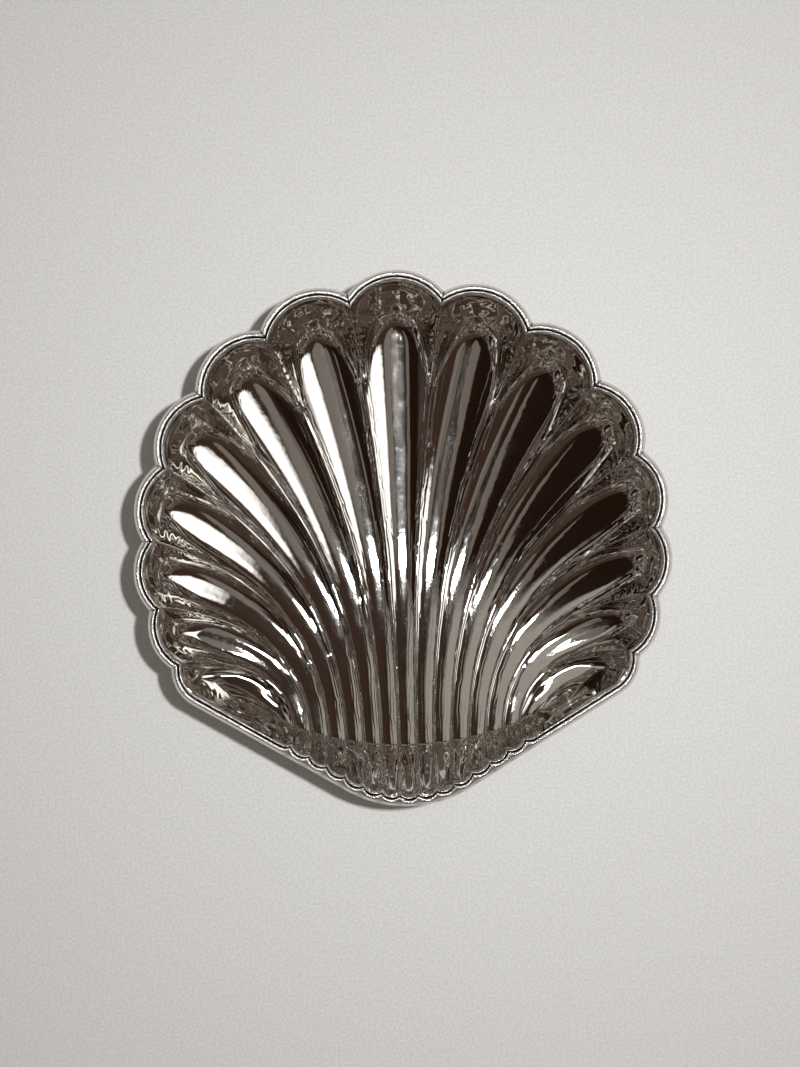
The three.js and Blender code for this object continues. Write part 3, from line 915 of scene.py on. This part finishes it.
@dataclass(frozen=True)
class FiledSilver(Silver):
    """Polished wire with crossed file marks, tarnish in its groove and its mitres, and painted shade on its
    outer bevel.
    """

    file_pitch: float = 0.3
    file_depth: float = 0.000005
    file_wander: float = 5.0
    file_wander_scale: float = 900.0
    # The dark colour of the tarnish; the outer bevel takes a share of it as painted shade.
    tarnish_and_shade: str = "2a211c"

    def tinted(self, tree: NodeTree, colour: Socket) -> Socket:
        """The colour with the tarnish, and with the painted shade on the outer bevel."""
        return tree.blend(tree.ramp(tree.marks(Mark.WIRE)["Z"], 0.0, 1.0), colour, linear(self.tarnish_and_shade))

    def worked(self, tree: NodeTree, place: Socket, normal: Socket) -> Socket:
        """The normal with the file marks, which cross each other.

        Args:
            tree: The material's nodes.
            place: The place on the object.
            normal: The normal without the marks.

        Returns:
            The bent normal.
        """
        parts = tree.marks(Mark.WIRE)
        noise = tree.noise(place, self.file_wander_scale, 2.0)
        bent = tree.math("MULTIPLY", noise["Fac"], self.file_wander)
        waves = []
        for combine in ("ADD", "SUBTRACT"):
            crossed = tree.math(combine, parts["X"], parts["Y"])
            phase = tree.math("MULTIPLY_ADD", crossed, 2 * math.pi / self.file_pitch, bent)
            waves.append(tree.math("SINE", phase))
        return tree.bump(tree.math("ADD", *waves), 1.0, self.file_depth, Normal=normal)


BOWL_SILVER = ChasedSilver("bowl_silver", (0.87, 0.85, 0.81), 0.035, 0.09, 0.15)
BORDER_SILVER = FiledSilver("border_silver", (0.88, 0.86, 0.83), 0.26, 0.12, 0.3)
FOOT_SILVER = Silver("foot_silver", (0.86, 0.84, 0.80), 0.08, 0.2, 0.1)


def mesh_object(name: str, points: np.ndarray, faces: np.ndarray) -> bpy.types.Object:
    """A smooth-shaded mesh in the scene.

    Args:
        name: The piece's name.
        points: Its vertices in metres.
        faces: The vertex numbers of its four-sided faces.

    Returns:
        The new object.
    """
    mesh = bpy.data.meshes.new(name)
    mesh.from_pydata(points.reshape(-1, 3).tolist(), [], faces.tolist())
    mesh.polygons.foreach_set("use_smooth", [True] * len(mesh.polygons))
    mesh.update()
    piece = bpy.data.objects.new(name, mesh)
    bpy.context.scene.collection.objects.link(piece)
    return piece


def mark(piece: bpy.types.Object, kind: Mark, values: np.ndarray) -> None:
    """Keeps three numbers for each vertex of a piece, which its finish reads."""
    attribute = piece.data.attributes.new(kind.value, "FLOAT_VECTOR", "POINT")
    attribute.data.foreach_set("vector", np.ascontiguousarray(values, dtype=np.float32).ravel())


def dressed(piece: bpy.types.Object, finish: bpy.types.Material, slot: str, *nodes: str) -> bpy.types.Object:
    """Gives a piece its finish and its place in the frame.

    Args:
        piece: The modelled piece.
        finish: Its material.
        slot: The record's material slot; not used.
        *nodes: The nodes of the frame that it stands for.

    Returns:
        The piece.
    """
    piece.data.materials.append(finish)
    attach(piece, "root")
    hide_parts(*nodes)
    LOG.info("%s: %d vertices", piece.name, len(piece.data.vertices))
    return piece


def grid_faces(columns: int, rows: int, first: int = 0, flipped: bool = False) -> np.ndarray:
    """Four-sided faces between the columns and rows of a grid of vertices.

    Args:
        columns: How many columns the grid has.
        rows: How many rows it has.
        first: The number of its first vertex.
        flipped: Whether the faces look the other way.

    Returns:
        The vertex numbers of each face.
    """
    corner = first + np.arange(columns - 1)[:, None] * rows + np.arange(rows - 1)
    corners = [corner, corner + rows, corner + rows + 1, corner + 1]
    order = corners[::-1] if flipped else corners
    return np.stack(order, axis=-1).reshape(-1, 4)


@dataclass
class FlutedBowl:
    """The struck sheet, with 15 flutes that fan out from the hinge wall to the lobed rim."""

    skins: Skins
    placement: Placement
    finish: Silver = BOWL_SILVER

    def build(self) -> bpy.types.Object:
        """Builds and dresses the bowl.

        Returns:
            The bowl.
        """
        inner = self.skins.skin(0)
        outer = self.skins.skin(self.skins.plan.sheet)
        columns, rows = inner.shape[:2]
        count = columns * rows
        faces = [
            grid_faces(columns, rows),
            grid_faces(columns, rows, count, flipped=True),
            self.edge_faces(columns, rows, count),
        ]
        points = self.placement(np.concatenate([inner.reshape(-1, 3), outer.reshape(-1, 3)]))
        piece = mesh_object("bowl", points, np.concatenate(faces))
        marks = self.skins.marks().reshape(-1, 3)
        mark(piece, Mark.SHEET, np.concatenate([marks, np.zeros_like(marks)]))
        self.outer = self.placement(outer)
        return dressed(piece, self.finish.material(), "bowl_silver", "fluted_bowl")

    def edge_faces(self, columns: int, rows: int, count: int) -> np.ndarray:
        """The narrow faces that close the sheet at the hinge, at the rim and at both straight edges.

        Args:
            columns: How many columns each skin has.
            rows: How many rows each skin has.
            count: How many vertices each skin has.

        Returns:
            The vertex numbers of each face.
        """
        column, row = np.arange(columns - 1) * rows, np.arange(rows - 1)
        last = (columns - 1) * rows
        hinge = [column + count, column + rows + count, column + rows, column]
        rim = [index + rows - 1 for index in (column, column + rows, column + rows + count, column + count)]
        left = [row + 1 + count, row + count, row, row + 1]
        right = [row + 1 + last, row + last, row + last + count, row + 1 + last + count]
        return np.concatenate([np.stack(edge, axis=-1) for edge in (hinge, rim, left, right)])


@dataclass
class BorderWire:
    """The border: one length of wire for each lobe, mitred at the notches, and a long one round the hinge."""

    plan: ShellPlan
    placement: Placement
    height: float = 1.5
    setback: float = 0.15
    bead_width: float = 0.6
    groove_depth: float = 0.3
    edge_height: float = 0.35
    bead_top_share: float = 0.6
    crown_start_share: float = 0.3
    crown_start_height: float = 0.97
    crown_top_share: float = 0.48
    underside_inset_share: float = 0.5
    tarnish_overlap: float = 0.04
    tarnish_drop: float = 0.02
    bevel_share: float = 0.78
    # How much of the dark colour the outer bevel gets: painted shade, not tarnish.
    bevel_painted_shade: float = 0.2
    corner_rounding: float = 0.3
    rounding_steps: int = 4
    lobe_steps: int = 40
    cluster_degrees: float = 75.0
    hinge_steps: int = 28
    finish: Silver = BORDER_SILVER

    def section(self) -> np.ndarray:
        """The wire's section: its underside, the inner bead, the groove, the crown and the bevel."""
        width = self.plan.border_width
        bead_top = self.height - self.groove_depth
        groove = self.setback + self.bead_width
        corners = np.array([
            [self.setback, 0],
            [self.setback, bead_top],
            [self.setback + self.bead_width * self.bead_top_share, bead_top],
            [groove, bead_top - self.groove_depth],
            [groove + self.bead_width * self.crown_start_share, self.height * self.crown_start_height],
            [mix(groove, width, self.crown_top_share), self.height],
            [width, self.edge_height],
            [width - self.bead_width * self.underside_inset_share, 0],
        ])
        return self.rounded(corners)

    def rounded(self, corners: np.ndarray) -> np.ndarray:
        """Rounds every corner but the two on the underside with a short curve.

        Args:
            corners: The section's corners, in order.

        Returns:
            The points of the rounded section.
        """
        points = [corners[0]]
        steps = np.linspace(0, 1, self.rounding_steps + 1)[:, None]
        for before, corner, after in zip(corners, corners[1:], corners[2:]):
            start = mix(corner, before, self.corner_rounding)
            end = mix(corner, after, self.corner_rounding)
            points.extend((1 - steps) ** 2 * start + 2 * steps * (1 - steps) * corner + steps**2 * end)
        points.append(corners[-1])
        return np.array(points)

    def lobe_stations(self, flute: int, section: np.ndarray) -> np.ndarray:
        """The section at each step along a lobe.

        Args:
            flute: The flute's number.
            section: The wire's section.

        Returns:
            The points by step and place in the section.
        """
        arc = math.radians(self.cluster_degrees)
        across = np.sin(np.linspace(-arc, arc, self.lobe_steps + 1)) / math.sin(arc)
        rings = [self.plan.lobe_points(flute, across, offset) for offset in section[:, 0]]
        return self.raised(np.stack(rings, axis=1), section)

    def hinge_stations(self, section: np.ndarray) -> np.ndarray:
        """The section at each step along the hinge, from right to left.

        Args:
            section: The wire's section.

        Returns:
            The points by step and place in the section.
        """
        last = self.plan.last_flute
        steps = np.linspace(-0.5, 0.5, self.hinge_steps + 1)
        places = [(-self.plan.side_edge, -last)]
        places += [(middle + step, middle) for middle in range(-last, last + 1) for step in steps[1:]]
        rings = [[self.plan.hinge_outline(flute, middle, offset) for offset in section[:, 0]]
                 for flute, middle in reversed(places)]
        return self.raised(np.array(rings), section)

    def raised(self, rings: np.ndarray, section: np.ndarray) -> np.ndarray:
        """Gives plan points the heights of the section."""
        heights = np.broadcast_to(section[:, 1, None], (*rings.shape[:2], 1))
        return np.concatenate([rings, heights], axis=-1)

    def swept(self, name: str, stations: np.ndarray) -> bpy.types.Object:
        """A length of wire through its stations, open at both ends.

        Args:
            name: The piece's name.
            stations: The sections along the length.

        Returns:
            The piece.
        """
        count, size = stations.shape[:2]
        ring = np.arange(size)
        station = np.arange(count - 1)[:, None] * size
        here, there = station + ring, station + np.roll(ring, -1)
        sides = np.stack([here, here + size, there + size, there], axis=-1).reshape(-1, 4)
        return mesh_object(name, self.placement(stations.reshape(-1, 3)), sides)

    def marks(self, stations: np.ndarray) -> np.ndarray:
        """Where each point lies on the wire, for its finish.

        Args:
            stations: The sections along the length.

        Returns:
            For each point the place along the wire, the place round the section and the share of the dark
            colour, which is tarnish in the groove and painted shade on the bevel.
        """
        section = self.section()
        legs = np.linalg.norm(np.diff(stations[:, len(section) // 2], axis=0), axis=1)
        along = np.concatenate([[0], np.cumsum(legs)])[:, None]
        around = np.concatenate([[0], np.cumsum(np.linalg.norm(np.diff(section, axis=0), axis=1))])
        bead_end = self.setback + self.bead_width * self.bead_top_share
        crown_start = self.setback + self.bead_width * (1 + self.crown_start_share)
        in_groove = (section[:, 0] > bead_end - self.tarnish_overlap) & (section[:, 0] < crown_start)
        below = section[:, 1] < self.height - self.groove_depth - self.tarnish_drop
        on_bevel = section[:, 0] > self.plan.border_width * self.bevel_share
        # Full tarnish in the groove; on the outer bevel a share of the dark colour as painted shade.
        tarnish_and_bevel_shade = np.where(in_groove & below, 1.0, np.where(on_bevel, self.bevel_painted_shade, 0.0))
        tarnish_and_shade = np.tile(tarnish_and_bevel_shade, (len(stations), 1))
        tarnish_and_shade[[0, -1]] = 1
        return np.stack([along + 0 * around, around + 0 * along, tarnish_and_shade], axis=-1)

    def capped(self, piece: bpy.types.Object, size: int) -> None:
        """Closes both ends of a length with one flat face each.

        Args:
            piece: The length.
            size: How many points its section has.
        """
        edit = bmesh.new()
        edit.from_mesh(piece.data)
        edit.verts.ensure_lookup_table()
        last = len(edit.verts) - size
        edit.faces.new([edit.verts[index] for index in range(size)])
        edit.faces.new([edit.verts[last + index] for index in reversed(range(size))])
        bmesh.ops.recalc_face_normals(edit, faces=edit.faces)
        edit.to_mesh(piece.data)
        edit.free()

    def build(self) -> list[bpy.types.Object]:
        """Builds and dresses every length.

        Returns:
            The 14 lengths.
        """
        section = self.section()
        material = self.finish.material()
        last = self.plan.last_flute
        pieces = []
        for flute in range(-last + 1, last):
            side = Side.LEFT if flute < 0 else Side.RIGHT
            node = "lobe_border_middle" if flute == 0 else f"lobe_border_{side.name.lower()}_{abs(flute)}"
            pieces.append(self.length(node, self.lobe_stations(flute, section), material))
        rounds = [
            self.lobe_stations(last, section),
            self.hinge_stations(section),
            self.lobe_stations(-last, section),
        ]
        pieces.append(self.length("hinge_border", np.concatenate(rounds), material))
        return pieces

    def length(self, node: str, stations: np.ndarray, material: bpy.types.Material) -> bpy.types.Object:
        """One dressed length of wire, which stands for the node of its name.

        Args:
            node: The node.
            stations: The sections along the length.
            material: Its finish.

        Returns:
            The piece.
        """
        piece = self.swept(node + "_wire", stations)
        self.capped(piece, stations.shape[1])
        mark(piece, Mark.WIRE, self.marks(stations).reshape(-1, 3))
        return dressed(piece, material, "border_silver", node)


@dataclass
class BallFoot:
    """A cast ball whose neck is soldered to the underside of the bowl."""

    node: str
    ball_radius: float = 4.6
    flat_radius: float = 1.4
    tip_radius: float = 0.02
    neck_radius: float = 2.9
    neck_waist_share: float = 0.97
    neck_waist_height: float = 0.3
    neck_height: float = 0.8
    seat_search: float = 3.0
    seat_depth: float = 0.15
    segments: int = 64
    rings: int = 40

    def build(self, material: bpy.types.Material, underside: BVHTree) -> bpy.types.Object:
        """Builds and dresses the foot.

        Args:
            material: The finish of all feet.
            underside: The bowl's outer face, which the neck ends on.

        Returns:
            The foot.
        """
        low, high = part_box(self.node)
        centre = (low + high) / 2
        profile = self.profile()
        turns = np.linspace(0, 2 * math.pi, self.segments, endpoint=False)
        radius, height = profile[:, 0], profile[:, 1]
        points = np.stack([
            centre.x + radius * MM * np.cos(turns)[:, None],
            centre.y + radius * MM * np.sin(turns)[:, None],
            np.broadcast_to(height * MM, (self.segments, len(profile))),
        ], axis=-1)
        for spoke in points:
            self.seat(spoke, underside)
        faces = grid_faces(self.segments + 1, len(profile)) % (self.segments * len(profile))
        piece = mesh_object(self.node + "_ball", points, faces)
        return dressed(piece, material, "foot_silver", self.node)

    def profile(self) -> np.ndarray:
        """The foot's outline from the middle of its flat to the top of its neck, as radius and height.

        Returns:
            The outline's points.
        """
        start = math.asin(self.flat_radius / self.ball_radius)
        end = math.pi - math.asin(self.neck_radius / self.ball_radius)
        middle = self.ball_radius * math.cos(start)
        turn = np.linspace(start, end, self.rings)
        ball = np.column_stack([self.ball_radius * np.sin(turn), middle - self.ball_radius * np.cos(turn)])
        top = ball[-1, 1]
        waist = [self.neck_radius * self.neck_waist_share, top + self.neck_waist_height]
        neck = [waist, [self.neck_radius, top + self.neck_height]]
        return np.concatenate([[[self.tip_radius, 0]], ball, neck])

    def seat(self, spoke: np.ndarray, underside: BVHTree) -> None:
        """Ends a spoke's neck on the underside.

        Args:
            spoke: One line of points up the foot, changed in place.
            underside: The bowl's outer face.
        """
        below = Vector(spoke[-1]) - Vector((0, 0, self.seat_search * MM))
        hit = underside.ray_cast(below, Vector((0, 0, 1)))[0]
        if hit is not None:
            spoke[-1, 2] = hit.z + self.seat_depth * MM


@dataclass(frozen=True)
class Glow:
    """A soft-edged light or dark field of the surroundings, around a direction."""

    towards: tuple[float, float]
    reach: tuple[float, float]
    colour: str
    strength: float = 1.0
    edge: float = 0.35
    fades_below: float = 0.05

    def light(self) -> tuple[float, float, float, float]:
        """Its colour, as bright as it shines."""
        return tuple(value * self.strength for value in linear(self.colour)[:3]) + (1.0,)

    def share(self, tree: NodeTree, direction: bpy.types.NodeSocket) -> bpy.types.NodeSocket:
        """How much of the field lies in a direction, from 0 outside it to 1 inside.

        Args:
            tree: The world's nodes.
            direction: The direction that is looked in.

        Returns:
            The share.
        """
        away = tree.vector("SUBTRACT", direction, (*self.towards, 0.0))[0]
        scaled = tree.vector("MULTIPLY", away, (1 / self.reach[0], 1 / self.reach[1], 0.0))[0]
        distance = tree.vector("LENGTH", scaled)["Value"]
        above = tree.add("SeparateXYZ", {0: direction}).outputs["Z"]
        inside = tree.ramp(distance, 1.0, 1.0 - self.edge)
        return tree.math("MULTIPLY", inside, tree.ramp(above, 0.0, self.fades_below))


@dataclass
class Studio:
    """The pale table, the lamps and the surroundings that the silver mirrors."""

    table_size: float = 6.0
    table_colours: tuple[str, str] = ("d2d2d1", "e0e0df")
    table_roughness: float = 0.55
    grain_scale: float = 1500.0
    grain_range: tuple[float, float] = (0.3, 0.7)
    grain_strength: float = 0.25
    grain_height: float = 0.0002
    key_power: float = 4.8
    key_radius: float = 0.006
    key_place: tuple[float, float, float] = (0.051, 0.021, 0.369)
    glint_power: float = 0.35
    glint_size: tuple[float, float] = (0.055, 0.018)
    glint_place: tuple[float, float, float] = (0.0, 0.037, 0.369)
    room_colours: tuple[str, str] = ("1f130c", "3a2c23")
    room_span: tuple[float, float] = (-0.25, 0.3)
    warp: float = 0.14
    warp_scale: float = 7.0
    clutter_scale: float = 2.6
    clutter_distortion: float = 1.5
    clutter_edge: float = 0.5
    clutter_full: float = 0.64
    clutter_heights: tuple[float, float] = (0.78, 0.6)
    outline_width: float = 0.02
    backdrop_heights: tuple[float, float] = (0.12, 0.03)
    fill: str = "756e65"
    backdrop: str = "cfcdc9"
    clutter: str = "5a4d45"
    outlines: str = "efe8e2"
    glows: tuple[Glow, ...] = (
        Glow((-0.3, 0.45), (0.34, 0.3), "9d978f"),
        Glow((0.0, -0.75), (0.9, 0.4), "43362e"),
        Glow((0.2, -0.12), (0.13, 0.3), "77706a"),
        Glow((0.61, 0.06), (0.33, 0.21), "fffdfa", 1.6, 0.35),
        Glow((-0.2, -0.02), (0.05, 0.3), "6e645c"),
        Glow((0.04, -0.13), (0.06, 0.1), "6a625a"),
        Glow((-0.01, 0.03), (0.06, 0.06), "060505"),
    )

    def build(self) -> None:
        """Builds the whole set."""
        self.table()
        self.lamps()
        self.surroundings()

    def table(self) -> None:
        """A pale speckled table top."""
        bpy.ops.mesh.primitive_plane_add(size=self.table_size, location=(0, 0, 0))
        top = bpy.context.object
        top.name = "table_top"
        material, tree = new_material("table")
        place = tree.add("TexCoord").outputs["Object"]
        grain = tree.noise(place, self.grain_scale, 3.0)["Fac"]
        dark, light = (linear(colour) for colour in self.table_colours)
        colour = tree.blend(tree.ramp(grain, *self.grain_range), dark, light)
        normal = tree.bump(grain, self.grain_strength, self.grain_height)
        shader = tree.add("BsdfPrincipled", {
            "Base Color": colour, "Roughness": self.table_roughness, "Normal": normal})
        tree.add("OutputMaterial", {"Surface": shader.outputs["BSDF"]})
        top.data.materials.append(material)

    def lamps(self) -> None:
        """A small key lamp that the silver doesn't mirror, and an elliptic one that only glints in it."""
        key = bpy.data.lights.new("key_lamp", "POINT")
        key.energy = self.key_power
        key.shadow_soft_size = self.key_radius
        self.place(key, Vector(self.key_place)).visible_glossy = False
        glint = bpy.data.lights.new("glint_lamp", "AREA")
        glint.energy = self.glint_power
        glint.shape = "ELLIPSE"
        glint.size, glint.size_y = self.glint_size
        self.place(glint, Vector(self.glint_place)).visible_diffuse = False

    def place(self, light: bpy.types.Light, where: Vector) -> bpy.types.Object:
        """Puts a lamp in the scene, aimed at the dish.

        Args:
            light: The lamp's data.
            where: Its place.

        Returns:
            The lamp.
        """
        lamp = bpy.data.objects.new(light.name, light)
        lamp.location = where
        lamp.rotation_euler = (-where).to_track_quat("-Z", "Y").to_euler()
        lamp.visible_camera = False
        bpy.context.scene.collection.objects.link(lamp)
        return lamp

    def surroundings(self) -> None:
        """What lies beyond the table.

        The silver mirrors a dim brown room with a window, above a low band of the pale backdrop. The camera and
        clear things see the backdrop alone, and all other rays see an even fill.
        """
        world = bpy.data.worlds.new("room")
        bpy.context.scene.world = world
        world.use_nodes = True
        tree = NodeTree(world.node_tree)
        towards = tree.add("TexCoord").outputs["Generated"]
        uneven = tree.noise(towards, self.warp_scale, 3.0)["Color"]
        waved = tree.vector("MULTIPLY_ADD", uneven, (self.warp,) * 3, towards)[0]
        middle = tree.vector("SUBTRACT", waved, (self.warp / 2,) * 3)[0]
        places = tree.add("SeparateXYZ", {0: middle}).outputs
        left, right = (linear(colour) for colour in self.room_colours)
        colour = tree.blend(tree.ramp(places["X"], *self.room_span), left, right)
        for glow in self.glows:
            colour = tree.blend(glow.share(tree, middle), colour, glow.light())
        things = tree.noise(towards, self.clutter_scale, 1.0, Distortion=self.clutter_distortion)["Fac"]
        low = tree.ramp(places["Z"], *self.clutter_heights)
        lit = tree.math("MULTIPLY", tree.ramp(things, self.clutter_edge, self.clutter_full), low)
        colour = tree.blend(lit, colour, linear(self.clutter))
        off_outline = tree.math("ABSOLUTE", tree.math("SUBTRACT", things, self.clutter_edge))
        outline = tree.math("MULTIPLY", tree.ramp(off_outline, self.outline_width, 0.0), low)
        colour = tree.blend(outline, colour, linear(self.outlines))
        in_band = tree.ramp(places["Z"], *self.backdrop_heights)
        colour = tree.blend(in_band, colour, linear(self.backdrop))
        rays = tree.add("LightPath").outputs
        seen = tree.blend(rays["Is Glossy Ray"], linear(self.fill), colour)
        direct = tree.math("MAXIMUM", rays["Is Camera Ray"], rays["Is Transmission Ray"])
        shown = tree.blend(direct, seen, linear(self.backdrop))
        background = tree.add("Background", {"Color": shown})
        tree.add("OutputWorld", {"Surface": background.outputs[0]})


@dataclass
class ViewCamera:
    """The camera straight above the dish."""

    above_edge: float = 300.0
    frame_height: float = 256.0
    aim: tuple[float, float] = (-0.5, 1.1)
    roll_degrees: float = 1.6
    sensor: float = 36.0
    clip_start: float = 0.01

    def build(self, placement: Placement) -> None:
        """Makes the camera and sets it as the scene's own.

        Args:
            placement: Where the dish's edge lies.
        """
        data = bpy.data.cameras.new("camera")
        data.sensor_width = self.sensor
        data.lens = self.sensor * self.above_edge / self.frame_height
        data.clip_start = self.clip_start
        camera = bpy.data.objects.new("camera", data)
        camera.location = Vector((*self.aim, placement.edge_height + self.above_edge)) * MM
        camera.rotation_euler = (0, 0, -math.radians(self.roll_degrees))
        bpy.context.scene.collection.objects.link(camera)
        bpy.context.scene.camera = camera


def main() -> None:
    """Builds the dish and its set."""
    logging.basicConfig(level=logging.INFO, format="%(name)s: %(message)s")
    bpy.context.scene.view_settings.view_transform = "Standard"
    skins = Skins()
    placement = Placement.from_frame(skins.plan)
    bowl = FlutedBowl(skins, placement)
    bowl.build()
    BorderWire(skins.plan, placement).build()
    columns, rows = bowl.outer.shape[:2]
    outer_faces = grid_faces(columns, rows).tolist()
    underside = BVHTree.FromPolygons(bowl.outer.reshape(-1, 3).tolist(), outer_faces)
    foot_material = FOOT_SILVER.material()
    for node in ("front_foot_left", "front_foot_right", "hinge_foot"):
        BallFoot(node).build(foot_material, underside)
    Studio().build()
    ViewCamera().build(placement)


if __name__ == "__main__":
    main()
